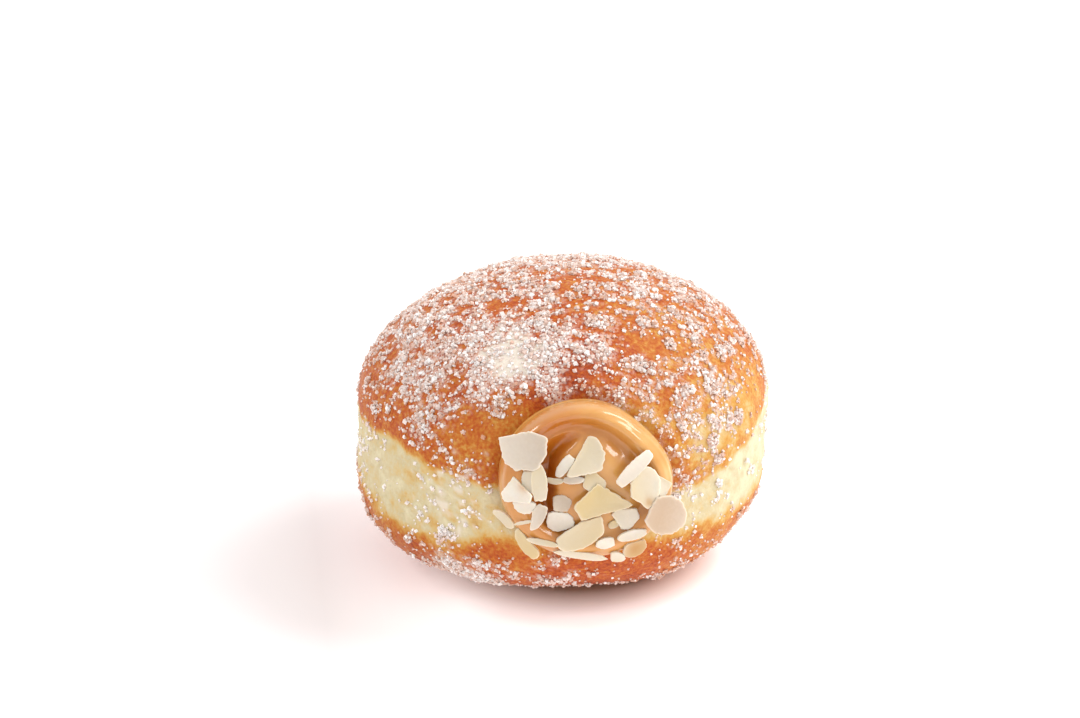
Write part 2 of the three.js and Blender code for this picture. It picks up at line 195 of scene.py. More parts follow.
# The crust in each direction from the waist's middle, as the solid has it
def crustPoints(toward):
    level = np.hypot(toward[:, 0], toward[:, 1])
    upper = toward[:, 2] >= 0
    fullness = np.where(upper, bun["crownFullness"], bun["bellyFullness"])
    height = np.where(upper, bun["crownHeight"], bun["bellyDepth"])
    share = (level / bun["radius"]) ** fullness + (np.abs(toward[:, 2]) / height) ** fullness
    reach = share ** (-1 / fullness)
    for *zone, lift in bun["swells"]:
        reach += lift * inZone(toward, *zone)
    drawnIn = bun["bandPinch"] * bump(reach * toward[:, 2] / bun["bandHalf"])
    points = toward * (reach - drawnIn * level)[:, None]
    points[:, 0] += bun["lean"] * points[:, 2]
    points[:, 2] += bun["waistHeight"]
    local = toHole(points)
    out = swirlRadii(local)
    rise, lipOut, halfWidth = hole["lip"]
    lift = rise * bump((out - lipOut) / halfWidth) - hole["dimple"] * np.exp(-(out**4))
    local[:, 2] += np.where(local[:, 2] > -bun["radius"] / 2, lift, 0)
    points = fromHole(local)
    points[:, 2] = np.maximum(points[:, 2], 0)
    return points


def selectOnly(*pieces):
    bpy.ops.object.select_all(action="DESELECT")
    for piece in pieces:
        piece.select_set(True)
    bpy.context.view_layer.objects.active = pieces[0]


def readPlaces(piece):
    places = np.empty(len(piece.data.vertices) * 3)
    piece.data.vertices.foreach_get("co", places)
    return places.reshape(-1, 3)


def writePlaces(piece, places):
    piece.data.vertices.foreach_set("co", (places * mm).ravel())
    piece.data.update()


def treeOf(piece):
    faces = [tuple(face.vertices) for face in piece.data.polygons]
    return BVHTree.FromPolygons([v.co / mm for v in piece.data.vertices], faces)


def writeAttribute(piece, name, values):
    attribute = piece.data.attributes.new(name, "FLOAT", "POINT")
    attribute.data.foreach_set("value", np.asarray(values, dtype=np.float32))


# A ball of rings whose points go where placeAt puts them, by share from pole to pole and angle
def pressBall(name, segments, rings, placeAt):
    bpy.ops.object.select_all(action="DESELECT")
    bpy.ops.mesh.primitive_uv_sphere_add(segments=segments, ring_count=rings, radius=1)
    piece = bpy.context.object
    piece.name = name
    places = readPlaces(piece)
    share = np.arccos(np.clip(places[:, 2], -1, 1)) / math.pi
    angle = np.arctan2(places[:, 1], places[:, 0])
    writePlaces(piece, placeAt(share, angle))
    return piece


def cutOrJoin(piece, other, operation):
    selectOnly(piece)
    modifier = piece.modifiers.new("cutOrJoin", "BOOLEAN")
    modifier.object = other
    modifier.operation = operation
    modifier.solver = "MANIFOLD"
    bpy.ops.object.modifier_apply(modifier=modifier.name)
    bpy.data.objects.remove(other)


def smooth(piece, degrees=50):
    selectOnly(piece)
    bpy.ops.object.shade_smooth_by_angle(angle=math.radians(degrees))


def smoothstep(low, high, values):
    share = np.clip((values - low) / (high - low), 0, 1)
    return share * share * (3 - 2 * share)


# A smooth line through evenly shared stations
def throughStations(stations, share):
    stations = np.array(stations, dtype=float)
    last = len(stations) - 1
    at = np.clip(share, 0, 1) * last
    leg = np.minimum(at.astype(int), last - 1)
    f = (at - leg)[:, None]
    before, start, end, after = (stations[np.clip(leg + k, 0, last)] for k in (-1, 0, 1, 2))
    bend = 2 * before - 5 * start + 4 * end - after
    twist = 3 * (start - end) + after - before
    return start + 0.5 * f * (end - before + f * (bend + f * twist))


def perMetre(millimetres):
    return 1000 / millimetres


# An sRGB hex value, turned to linear
def colour(hexValue):
    parts = [int(hexValue[i : i + 2], 16) / 255 for i in (1, 3, 5)]
    linear = [c / 12.92 if c <= 0.04045 else ((c + 0.055) / 1.055) ** 2.4 for c in parts]
    return (*linear, 1)


def newMaterial(name):
    material = bpy.data.materials.new(name)
    material.use_nodes = True
    return material, material.node_tree


# Adds a node with its settings and links, by socket name or number, and gives back an output.
# A Mix node mixes colours 6 and 7 by 0, into output 2.
def addNode(tree, kind, settings=None, links=None, out=0):
    node = tree.nodes.new("ShaderNode" + kind)
    for name, value in (settings or {}).items():
        if name == "stops":
            ramp = node.color_ramp
            while len(ramp.elements) < len(value):
                ramp.elements.new(0.5)
            for element, (position, shade) in zip(ramp.elements, value):
                element.position = position
                element.color = colour(shade)
        elif isinstance(name, str) and hasattr(node, name):
            setattr(node, name, value)
        else:
            node.inputs[name].default_value = value
    for name, source in (links or {}).items():
        tree.links.new(source, node.inputs[name])
    return node.outputs[out]


def setShader(tree, settings, links):
    shader = tree.nodes["Principled BSDF"]
    for name, value in settings.items():
        shader.inputs[name].default_value = value
    for name, source in links.items():
        tree.links.new(source, shader.inputs[name])


# Fried yeast dough: a thin, oily, browned skin, satin rather than shiny, pale and porous
# where it stood clear of the oil. Light goes a little way in.
def friedDoughMaterial():
    look = {
        "mottle": (4.0, 0.55),  # size in mm, and how far it shifts the browning
        "speckle": (0.75, 0.85),
        "speckled": (0.25, 0.6, 0.2),  # browning where it begins and is full, and its least share
        "roughness": (0.62, 0.4),  # of the dry band and of the oily crust
        "pores": (0.6, 0.22),  # size and depth in mm
        "powder": (0.5, 0.36, 0.54),  # size in mm, and where its specks begin and are full
        "dust": "#e2cec4",  # crushed sugar that lies between the crystals
        "cake": "#e4dacb",  # sugar that has set to a smooth layer
        "shades": [
            (0.0, "#dacfab"), (0.1, "#cdbf98"), (0.2, "#d0b67e"), (0.32, "#ca9848"),
            (0.48, "#be7024"), (0.68, "#b04d10"), (0.86, "#92350a"), (1.0, "#712609"),
        ],
    }
    material, tree = newMaterial("friedYeastDough")
    coords = addNode(tree, "TexCoord", out="Object")
    browning, dust, caked = (
        addNode(tree, "Attribute", {"attribute_name": name}, out="Fac")
        for name in ("browning", "dust", "caked")
    )
    shifts = []
    for pattern, detail, roughness in (("mottle", 5, 0.6), ("speckle", 3, 0.5)):
        size, shift = look[pattern]
        grain = addNode(
            tree, "TexNoise", {"Scale": perMetre(size), "Detail": detail, "Roughness": roughness},
            {"Vector": coords},
        )
        settings = {"operation": "MULTIPLY_ADD", 1: shift, 2: -shift / 2}
        shifts.append(addNode(tree, "Math", settings, {0: grain}))
    mottled, speckled = shifts
    begin, full, least = look["speckled"]
    onCrust = addNode(
        tree, "MapRange", {"From Min": begin, "From Max": full, "To Min": least}, {"Value": browning},
    )
    settings = {"operation": "MULTIPLY_ADD"}
    uneven = addNode(tree, "Math", settings, {0: speckled, 1: onCrust, 2: mottled})
    bake = addNode(tree, "Math", {"operation": "ADD", "use_clamp": True}, {0: browning, 1: uneven})
    shade = addNode(tree, "ValToRGB", {"stops": look["shades"]}, {"Fac": bake})
    size, begin, full = look["powder"]
    powder = addNode(tree, "TexNoise", {"Scale": perMetre(size), "Detail": 2}, {"Vector": coords})
    specks = addNode(tree, "MapRange", {"From Min": begin, "From Max": full}, {"Value": powder})
    film = addNode(tree, "Math", {"operation": "MULTIPLY", "use_clamp": True}, {0: dust, 1: specks})
    for share, layer in ((film, "dust"), (caked, "cake")):
        settings = {"data_type": "RGBA", 7: colour(look[layer])}
        shade = addNode(tree, "Mix", settings, {0: share, 6: shade}, out=2)
    dry, oily = look["roughness"]
    rough = addNode(tree, "MapRange", {"To Min": dry, "To Max": oily}, {"Value": browning})
    size, depth = look["pores"]
    pores = addNode(
        tree, "TexNoise", {"Scale": perMetre(size), "Detail": 4, "Roughness": 0.65},
        {"Vector": coords},
    )
    relief = addNode(tree, "Bump", {"Distance": depth * mm, "Strength": 0.9}, {"Height": pores})
    setShader(tree, {
        "IOR": 1.45,
        "Specular IOR Level": 0.28,
        "Subsurface Weight": 0.06,
        "Subsurface Radius": (1.0, 0.5, 0.25),
        "Subsurface Scale": 1.5 * mm,
    }, {"Base Color": shade, "Roughness": rough, "Normal": relief})
    return material


# Caramel cream: boiled sugar and milk fat, opaque and glossy, with a wet skin. Painted shade makes
# it deeper in the creases, where light meets it more than once, and darker towards its left side.
def caramelCreamMaterial():
    look = {
        "streak": 6.0,  # size in mm
        "shades": [(0.25, "#c98f46"), (0.75, "#ddaa62")],
        # the colour of the painted shade in the creases and on the left
        "deep": "#b86818",
    }
    material, tree = newMaterial("caramelCream")
    coords = addNode(tree, "TexCoord", out="Object")
    recess = addNode(tree, "Attribute", {"attribute_name": "recess"}, out="Fac")
    streaks = addNode(
        tree, "TexNoise", {"Scale": perMetre(look["streak"]), "Detail": 2}, {"Vector": coords},
    )
    shade = addNode(tree, "ValToRGB", {"stops": look["shades"]}, {"Fac": streaks})
    settings = {"data_type": "RGBA", 7: colour(look["deep"])}
    shaded = addNode(tree, "Mix", settings, {0: recess, 6: shade}, out=2)
    setShader(tree, {
        "Roughness": 0.34,
        "IOR": 1.47,
        "Specular IOR Level": 0.2,
        "Coat Weight": 1.0,
        "Coat Roughness": 0.07,
        "Subsurface Weight": 0.15,
        "Subsurface Radius": (1.0, 0.55, 0.25),
        "Subsurface Scale": 1.2 * mm,
    }, {"Base Color": shaded})
    return material


# Blanched almond, sliced: waxy ivory flesh, here and there with a scrap of ochre skin. Light passes
# through its thin rim, and that rim is painted paler as painted light.
def almondMaterial():
    look = {
        "fibre": (0.7, 0.08, 0.06),  # size in mm, how far it shifts the tone, and height in mm
        "shades": [(0.0, "#bfae9b"), (0.3, "#e5ddcf"), (0.6, "#d1c4aa"), (1.0, "#ceb47a")],
        "skin": "#b98743",
        # the colour of the painted rim light
        "rim": "#f3e9d8",
    }
    material, tree = newMaterial("slicedAlmond")
    coords = addNode(tree, "TexCoord", out="Object")
    tone, skin, rim = (
        addNode(tree, "Attribute", {"attribute_name": name}, out="Fac")
        for name in ("tone", "skin", "rim")
    )
    size, shift, height = look["fibre"]
    fibre = addNode(tree, "TexNoise", {"Scale": perMetre(size), "Detail": 3}, {"Vector": coords})
    settings = {"operation": "MULTIPLY_ADD", 1: shift, 2: -shift / 2}
    uneven = addNode(tree, "Math", settings, {0: fibre})
    toned = addNode(tree, "Math", {"operation": "ADD", "use_clamp": True}, {0: tone, 1: uneven})
    shade = addNode(tree, "ValToRGB", {"stops": look["shades"]}, {"Fac": toned})
    for share, layer in ((skin, "skin"), (rim, "rim")):
        settings = {"data_type": "RGBA", 7: colour(look[layer])}
        shade = addNode(tree, "Mix", settings, {0: share, 6: shade}, out=2)
    relief = addNode(tree, "Bump", {"Distance": height * mm, "Strength": 0.6}, {"Height": fibre})
    setShader(tree, {
        "Roughness": 0.42,
        "IOR": 1.47,
        "Subsurface Weight": 0.35,
        "Subsurface Radius": (1.0, 0.8, 0.5),
        "Subsurface Scale": 1.0 * mm,
    }, {"Base Color": shade, "Normal": relief})
    return material


# Granulated white sugar: crystals with flat, glinting faces. The clear ones take the colour
# of the crust that shows through them, and those in crusted patches are milky.
def sugarMaterial():
    look = {"shades": [(0.0, "#cb9472"), (0.4, "#e0c2b4"), (0.75, "#f1e5df"), (1.0, "#fffdfa")]}
    material, tree = newMaterial("granulatedSugar")
    milky = addNode(tree, "Attribute", {"attribute_name": "milky"}, out="Fac")
    shade = addNode(tree, "ValToRGB", {"stops": look["shades"]}, {"Fac": milky})
    setShader(tree, {
        "Roughness": 0.22,
        "IOR": 1.5,
        "Transmission Weight": 0.06,
        "Subsurface Weight": 0.3,
        "Subsurface Radius": (1.0, 0.85, 0.75),
        "Subsurface Scale": 0.6 * mm,
    }, {"Base Color": shade})
    return material


dough = {
    "cuts": 117,
    "undulation": (14.0, 0.4),  # size and height in mm
    "wrinkles": (3.4, 0.16),
    "grain": (1.5, 0.07),
    "bandPits": (2.2, 0.42, 0.15, 0.55),  # and the noise at which they begin and are deepest
    "edgeStep": 0.3,  # the browned skin stands proud of the band
    "settled": (0.4, 3.0),  # the flat spot below stays flat, and relief fades in over these heights
    "upperEdge": [  # azimuth, height over the waist in mm
        (-180, 6.0), (-150, 6.5), (-120, 6.0), (-86, 6.4), (-61, 7.2), (-52, 6.3), (-43, 4.8),
        (-28, 3.3), (26, 1.1), (33, 0.8), (46, 2.5), (59, 6.0), (66, 7.7), (78, 12.5), (90, 15.0),
        (105, 13.0), (150, 7.5),
    ],
    "lowerEdge": [
        (-180, -9.0), (-140, -9.5), (-110, -8.5), (-79, -9.5), (-61, -12.2), (-46, -12.6), (-36, -12.0),
        (-25, -8.6), (0, -9.0), (29, -10.4), (40, -9.8), (55, -10.4), (68, -9.8), (110, -9.0),
        (150, -9.5),
    ],
    "edgeWander": [(4.5, 1.3), (1.5, 0.52)],
    "softness": (1.5, 3.6),  # of the upper and lower edge, in mm
    # the band's lightest part, on the front right, is painted light where the lamps fall most
    "bandTone": (0.1, 56, -4, 26, 0.05),  # and the place, spread and step of its lightest part
    "stains": (-38, -3, 24, 0.14),  # where and how much deeper the band is stained
    "stained": (3.0, -0.05, 0.35),  # size in mm, and the noise at which a stain begins and is full
    "crownTone": 0.6,
    "bellyTone": 0.66,
    # some zones are painted light and shade: the small lighter ones at azimuth 16 to 38 beside the
    # swirl offset the shade it casts, and the deep one at latitude -80 under the belly is painted shade
    "toneAndLightZones": [  # azimuth, latitude, spread, how much deeper
        (-6, 36, 16, 0.2), (-32, 12, 14, -0.08), (-50, 55, 26, 0.06), (52, 16, 16, -0.26),
        (80, 20, 20, -0.02), (36, 44, 16, -0.1), (90, 45, 28, -0.06), (12, 24, 8, -0.08),
        (-36, -14, 14, -0.16), (-70, -16, 14, -0.12), (8, -42, 14, 0.1), (35, 9, 10, -0.1),
        (-18, -18, 9, -0.1), (-20, 22, 8, -0.15), (38, 11, 8, -0.1), (29, 15, 8, -0.15),
        (16, 21, 6, -0.24), (4, 33, 6, -0.1), (-27, -14, 7, 0.1), (72, 16, 12, -0.04),
        (46, -22, 22, -0.2), (0, -80, 40, 0.22), (160, 30, 40, 0.06),
    ],
}


# How brown each point is, from the pale band near 0 to deep brown at 1, and whether it is crust
def browningAt(toward, points):
    azimuth = np.degrees(np.arctan2(toward[:, 0], -toward[:, 1]))
    height = points[:, 2] - bun["waistHeight"]
    upper, lower = (
        np.interp(azimuth, *zip(*dough[edge]), period=360) for edge in ("upperEdge", "lowerEdge")
    )
    stray = noiseSum(points, dough["edgeWander"], 1)
    above = smoothstep(-1, 1, (height - upper + stray) / dough["softness"][0])
    below = smoothstep(-1, 1, (lower - height + stray) / dough["softness"][1])
    tone = np.where(height > 0, dough["crownTone"], dough["bellyTone"])
    # painted light and painted shade come in here with some zones, along with the browning
    for *zone, deeper in dough["toneAndLightZones"]:
        tone = tone + deeper * inZone(toward, *zone)
    crusted = np.maximum(above, below)
    bandTone, *zone, paintedLight = dough["bandTone"]
    # painted light: the band is lighter on the side the lamps light most
    bare = bandTone - paintedLight * inZone(toward, *zone)
    *zone, deeper = dough["stains"]
    size, begin, full = dough["stained"]
    bare += deeper * smoothstep(begin, full, noiseAt(points, size, 8)) * inZone(toward, *zone)
    return bare + crusted * (tone - bare), crusted


def buildCrust():
    bpy.ops.object.select_all(action="DESELECT")
    bpy.ops.mesh.primitive_cube_add(size=2)
    crust = bpy.context.object
    crust.name = "doughCrust"
    bpy.ops.object.mode_set(mode="EDIT")
    bpy.ops.mesh.select_all(action="SELECT")
    bpy.ops.mesh.subdivide(number_cuts=dough["cuts"])
    bpy.ops.object.mode_set(mode="OBJECT")
    toward = np.tan(readPlaces(crust) * math.pi / 4)
    toward /= np.linalg.norm(toward, axis=1)[:, None]
    points = crustPoints(toward)
    browning, crusted = browningAt(toward, points)
    relief = noiseSum(points, [dough["undulation"], dough["wrinkles"], dough["grain"]], 3)
    size, depth, begin, full = dough["bandPits"]
    pits = depth * smoothstep(begin, full, noiseAt(points, size, 7))
    relief += (crusted - 1) * dough["edgeStep"] - (1 - crusted) * pits
    settled = smoothstep(*dough["settled"], points[:, 2])
    points += toward * (relief * settled)[:, None]
    writePlaces(crust, points)
    writeAttribute(crust, "browning", browning)
    dust = sugar["dust"] * sugarShare(toward, points) * sugarCover(toward)
    writeAttribute(crust, "dust", dust)
    writeAttribute(crust, "caked", cakedAt(toward, points))
    return crust


# How deep the creases are at a share of the way out and an angle
def creaseDepth(out, angle):
    deepest = np.zeros_like(out)
    for crease in swirl["creases"]:
        angles, outs, depths = zip(*reversed(crease["path"]))
        at = angles[0] + (np.degrees(angle) - angles[0]) % 360
        away = (out - np.interp(at, angles, outs)) * swirl["halfWide"]
        outer, inner = crease["flanks"]
        cut = np.interp(at, angles, depths) * bump(away / np.where(away > 0, outer, inner))
        deepest = np.maximum(deepest, cut)
    return deepest


# A low dome with a rope of caramel round its rim and a fold across it
def swirlHeight(out, angle):
    *zone, drift = swirl["ropeDrift"]
    crestOut = swirl["ropeOut"] + drift * nearAngle(angle, *zone)
    dome = (swirl["crest"] - swirl["shoulder"]) * (1 - np.minimum(out, 1) ** 2)
    rope = swirl["ropeRise"] * bump((out - crestOut) / swirl["ropeHalf"])
    rise, foldOut, halfWidth, *zone = swirl["fold"]
    fold = rise * nearAngle(angle, *zone) * bump((out - foldOut) / halfWidth)
    return swirl["shoulder"] + dome + rope + fold


# The cap of caramel: its top as far as the rim's first row, then over the rim and under
def placeSwirl(share, angle):
    topShare = 0.75
    foot = -hole["dimple"] - 2
    rim = [  # share out, share of the top's last height, and depth
        (0.92, 1, 0), (0.955, 0.86, 0), (0.98, 0.58, 0), (1, 0.15, 0),
        (0.985, 0, -hole["dimple"] / 2), (0.88, 0, foot), (0, 0, foot),
    ]
    edge = np.full_like(angle, rim[0][0])
    start = swirlHeight(edge, angle) - creaseDepth(edge, angle)
    over = throughStations(rim, (share - topShare) / (1 - topShare))
    top = share <= topShare
    out = np.where(top, rim[0][0] * share / topShare, over[:, 0])
    height = np.where(
        top, swirlHeight(out, angle) - creaseDepth(out, angle), over[:, 1] * start + over[:, 2],
    )
    reach = out * cutBack(angle)
    local = np.stack([
        swirl["aside"] + swirl["halfWide"] * reach * np.cos(angle),
        swirl["halfTall"] * reach * np.sin(angle),
        height,
    ], -1)
    size, sag = swirl["sag"]
    ridge, count, slant = swirl["ridges"]
    begin, full, fade, end = swirl["ridged"]
    piped = smoothstep(begin, full, out) * smoothstep(end, fade, out) * (height > 0)
    streaks = np.sin(out * count * 2 * math.pi + slant * angle)
    local[:, 2] += sag * noiseAt(local, size, 11) * (height > 1) + ridge * piped * streaks
    return fromHole(local)


# The pocket that the filling takes up inside the dough, this much larger all round
def pressPocket(name, allowance):
    def placeAt(share, angle):
        stations = pocket["stations"]
        last = len(stations) - 1
        profile = []
        for i, (inward, half) in enumerate(stations):
            end = -allowance if i <= 1 else allowance if i == last else 0
            profile.append((half + allowance if half else 0, -(inward + end)))
        at = share * last
        half, depth = (np.interp(at, range(last + 1), column) for column in zip(*profile))
        flat = pocket["flatness"]
        return fromHole(np.stack([half * np.cos(angle), flat * half * np.sin(angle), depth], -1))

    return pressBall(name, pocket["segments"], pocket["rings"], placeAt)


def buildCaramel(crust):
    caramel = pressBall("caramelSwirl", swirl["segments"], swirl["rings"], placeSwirl)
    swirlTree = treeOf(caramel)
    bed = crust.copy()
    bed.data = crust.data.copy()
    bpy.context.collection.objects.link(bed)
    cutOrJoin(caramel, bed, "DIFFERENCE")
    cutOrJoin(caramel, pressPocket("neck", 0), "UNION")
    local = toHole(readPlaces(caramel) / mm)
    across = (local[:, 0] - swirl["aside"]) / swirl["halfWide"]
    angle = np.arctan2(local[:, 1] / swirl["halfTall"], across)
    # painted shade: the creases, and the left side, get a darker colour
    recess = creaseDepth(swirlRadii(local), angle) / swirl["fullShadeDepth"]
    begin, full, deeper = swirl["leftShade"]
    recess = np.minimum(recess + deeper * smoothstep(begin, full, local[:, 0]), 1)
    writeAttribute(caramel, "recess", recess * (local[:, 2] > 0))
    return caramel, swirlTree


almond = {
    "thickness": 0.8,
    "stuck": 1.2,  # cubic mm of a flake that are sunk in what it lies on
    "deepest": 0.6,  # the most that any point of it sinks, as a share of its thickness
    "dropFrom": 8.0,
    "drops": (14, 0.02),  # the furthest it is tried to fall from there, and the step
    "setBack": 0.1,  # mm that its edge keeps inside its outline
    "dish": 0.09,  # depth as a share of half its width
    "bend": 0.3,  # most rise at its ends and corners, in mm
    "ragged": [(5, 0.07), (13, 0.042)],  # notches to a turn, and depth as a share of its reach
    # painted shade: the tone shifts across each flake as if one side were shaded, in a chance direction
    "fade": (0.05, 0.16),  # how far its tone shifts from side to side
    "paintedRimLight": (0.88, 0.4),  # share of the way out where it begins, and strength
    "segments": 60,
    "rings": 16,
    "seed": 5,
}


# A flake: place on the swirl, turn, (lean, tip), (length, width), tone, broken edges as
# (the angle faced, distance), and any mark of skin as (along, across, size, strength) in mm
def flake(at, turn, tilt, size, tone, *breaks, mark=(0, 0, 1, 0)):
    return dict(at=at, turn=turn, tilt=tilt, size=size, tone=tone, breaks=breaks, mark=mark)


# each flake's tone is partly painted light and shade: some are set lighter or darker for how the lamps
# fall on them
flakes = [
    flake((-18, -7.3), -26, (-10, 4), (6, 3), 0.6, (255, 0.9)),
    flake((-12.9, -11.5), -54, (-6, 12), (7.8, 3.8), 0.85, (98, 1)),
    flake((8.7, -13.9), 10, (8, 6), (5.8, 4.6), 0.75, (80, 1.7), mark=(0, 0, 3, 0.85)),
    flake((1.3, -16.9), 14, (0, 12), (2.6, 1.1), 0.5),
    flake((-7.6, 1.4), -6, (0, 14), (3.9, 1.9), 0.6, (90, 0.5)),
    flake((-3.8, 1.4), 0, (0, 20), (4.8, 1.9), 0.15),
    flake((-6.8, -7.3), -12, (4, 8), (6.4, 4.9), 0.22, (96, 2.1), (188, 2.7), (300, 2.2)),
    flake((-6.3, -3.6), -24, (6, 6), (4.9, 4), 0.02, (0, 1.9), (205, 1.9), (290, 1.6)),
    flake((-13.3, -2.9), -6, (-8, 4), (5.2, 4.2), 0.3, (88, 1)),
    flake((-12.5, 1.7), 88, (-14, 4), (5.8, 3.4), 0.5, (0, 2.2)),
    flake((0.3, 0.9), -25, (0, 8), (5.6, 4.6), 0.7, (190, 2.2), (70, 1.9)),
    flake((-13.5, -6.7), 14, (0, 20), (4.4, 0.9), 0.5),
    flake((-9.9, -10.9), -9, (0, 24), (7.2, 1.5), 0.6),
    flake((14.6, -0.8), 0, (8, 6), (6, 5.4), 0.55, (58, 1.25), (321, 1.5)),
    flake((2.7, -11.9), 8, (0, 14), (4.8, 2.6), 0.3, (0, 1.8)),
    flake((4.6, -8.6), 18, (0, 10), (2.9, 1.9), 0.8),
    flake((7.1, -7.3), -10, (4, 8), (7.2, 5.4), 0.45, (98, 2), (222, 2.3), (326, 2.5), (30, 2.8)),
    flake((-10.8, -5), 62, (8, 8), (6.6, 3.2), 0.1, (8, 2.7), (110, 1.3)),
    flake((-5.4, 4.5), 50, (-12, 6), (6.2, 2.6), 0.3, (0, 2.5)),
    flake((-10.5, 1.2), 94, (10, 10), (8.8, 3.6), 0.6, (180, 3.6)),
    flake(
        (-14.5, -0.4), 0, (-12, 12), (7.2, 7.2), 0.3,
        (49, 1.9), (142, 2.8), (268, 2.2), mark=(1.6, 1.4, 1.6, 0.7),
    ),
    flake(
        (10.1, -0.6), 85, (6, 6), (9.2, 7.6), 0.6,
        (50, 3.3), (95, 3.2), (148, 3.2), mark=(-3, -1.2, 1.1, 0.7),
    ),
    flake((-2.6, -13.9), -10, (0, 16), (11.8, 1.7), 0.5),
    flake((4.9, -15.2), -20, (0, 8), (4, 2.6), 0.5, (200, 1.4)),
    flake((8, -10.7), 6, (2, 16), (7, 2.4), 0.4, (0, 3.2)),
    flake((14.1, -6.4), -22, (2, 6), (10.6, 8.6), 0.03, (172, 4.4), (42, 4.6), mark=(0, 0, 9, 0.28)),
    flake((8.2, 3.4), 40, (0, 4), (12, 3.2), 0.22, (0, 5), (180, 4.8)),
    flake(
        (-0.9, 6.5), 0, (-4, 8), (12, 12), 0.62,
        (56, 4), (25, 3.6), (341, 3.8), (278, 4), (148, 1.75),
    ),
    flake(
        (1.8, -3.4), 0, (2, 10), (14.6, 11), 0.85,
        (56, 3.2), (132, 3.9), (161, 5.4), (209, 5.6), (282, 2.4),
    ),
    flake((-2.4, -9.4), 29, (0, 12), (11.6, 6.6), 0.72, (94, 2.1), (77, 2.4), (338, 4.8)),
    flake(
        (-13.2, 7.2), 0, (-4, 8), (13.6, 11.6), 0.1,
        (100, 4.2), (62, 4.8), (0, 5), (196, 4.6), (234, 4.2), (270, 3.9), (327, 4.6),
    ),
]


# The turn and place of a flake over the dome, and the way it comes down
def flakeLie(row):
    u, v = row["at"]
    across, up = swirl["halfWide"], swirl["halfTall"]
    out = min(math.hypot(u / across, v / up), 1)
    fall = 2 * (swirl["crest"] - swirl["shoulder"] + 2 * out * out)
    normal = Vector((u * fall / across**2, v * fall / up**2, 1)).normalized()
    upright = Vector((0, 0, 1)).rotation_difference(normal)
    lean, tip = (math.radians(a) for a in row["tilt"])
    # the same turn as the part file gives for its "XYZ" order: about z first, then y, then x
    own = (
        Quaternion((1, 0, 0), -tip) @ Quaternion((0, 1, 0), lean)
        @ Quaternion((0, 0, 1), math.radians(row["turn"]))
    )
    dome = swirl["shoulder"] + (swirl["crest"] - swirl["shoulder"]) * (1 - out * out)
    place = np.array([u, v, dome - swirl["edgeFall"] * out**6])
    return np.array((upright @ own).to_matrix()), place, np.array(normal)


def flakeReach(row, angle):
    halfLong, halfWide = (side / 2 for side in row["size"])
    reach = 1 / np.hypot(np.cos(angle) / halfLong, np.sin(angle) / halfWide)
    for facing, distance in row["breaks"]:
        toward = np.cos(angle - math.radians(facing))
        cut = distance / np.maximum(toward, 0.05)
        reach = np.where(toward > 0.05, np.minimum(reach, cut), reach)
    return reach - almond["setBack"]


# How far a flake comes down until it sticks: its sunken volume is summed over its underside
def dropOf(row, turn, place, normal, pile):
    around, outward = 48, 6
    angle = np.linspace(0, 2 * math.pi, around, endpoint=False)
    reach = flakeReach(row, angle)
    shares = np.sqrt((np.arange(outward) + 0.5) / outward)
    x = np.outer(shares, reach * np.cos(angle)).ravel()
    y = np.outer(shares, reach * np.sin(angle)).ravel()
    areas = np.tile(reach**2 * math.pi / around / outward, outward)
    start = place + normal * almond["dropFrom"]
    thick = almond["thickness"]
    under = np.stack([x, y, np.full_like(x, -thick / 2)], -1) @ turn.T + start
    way = Vector(holeTurn @ -normal)
    depths = []
    for point in fromHole(under):
        hits = [tree.ray_cast(Vector(point), way)[3] for tree in pile]
        depths.append(min((hit for hit in hits if hit is not None), default=math.inf))
    furthest, step = almond["drops"]
    drops = np.arange(0, furthest, step)
    sunk = np.clip(drops[:, None] - np.array(depths), 0, thick) @ areas
    wanted = min(almond["stuck"], areas.sum() * thick / 4)  # a small flake sinks by a quarter
    return min(drops[np.argmax(sunk > wanted)], min(depths) + thick * almond["deepest"])


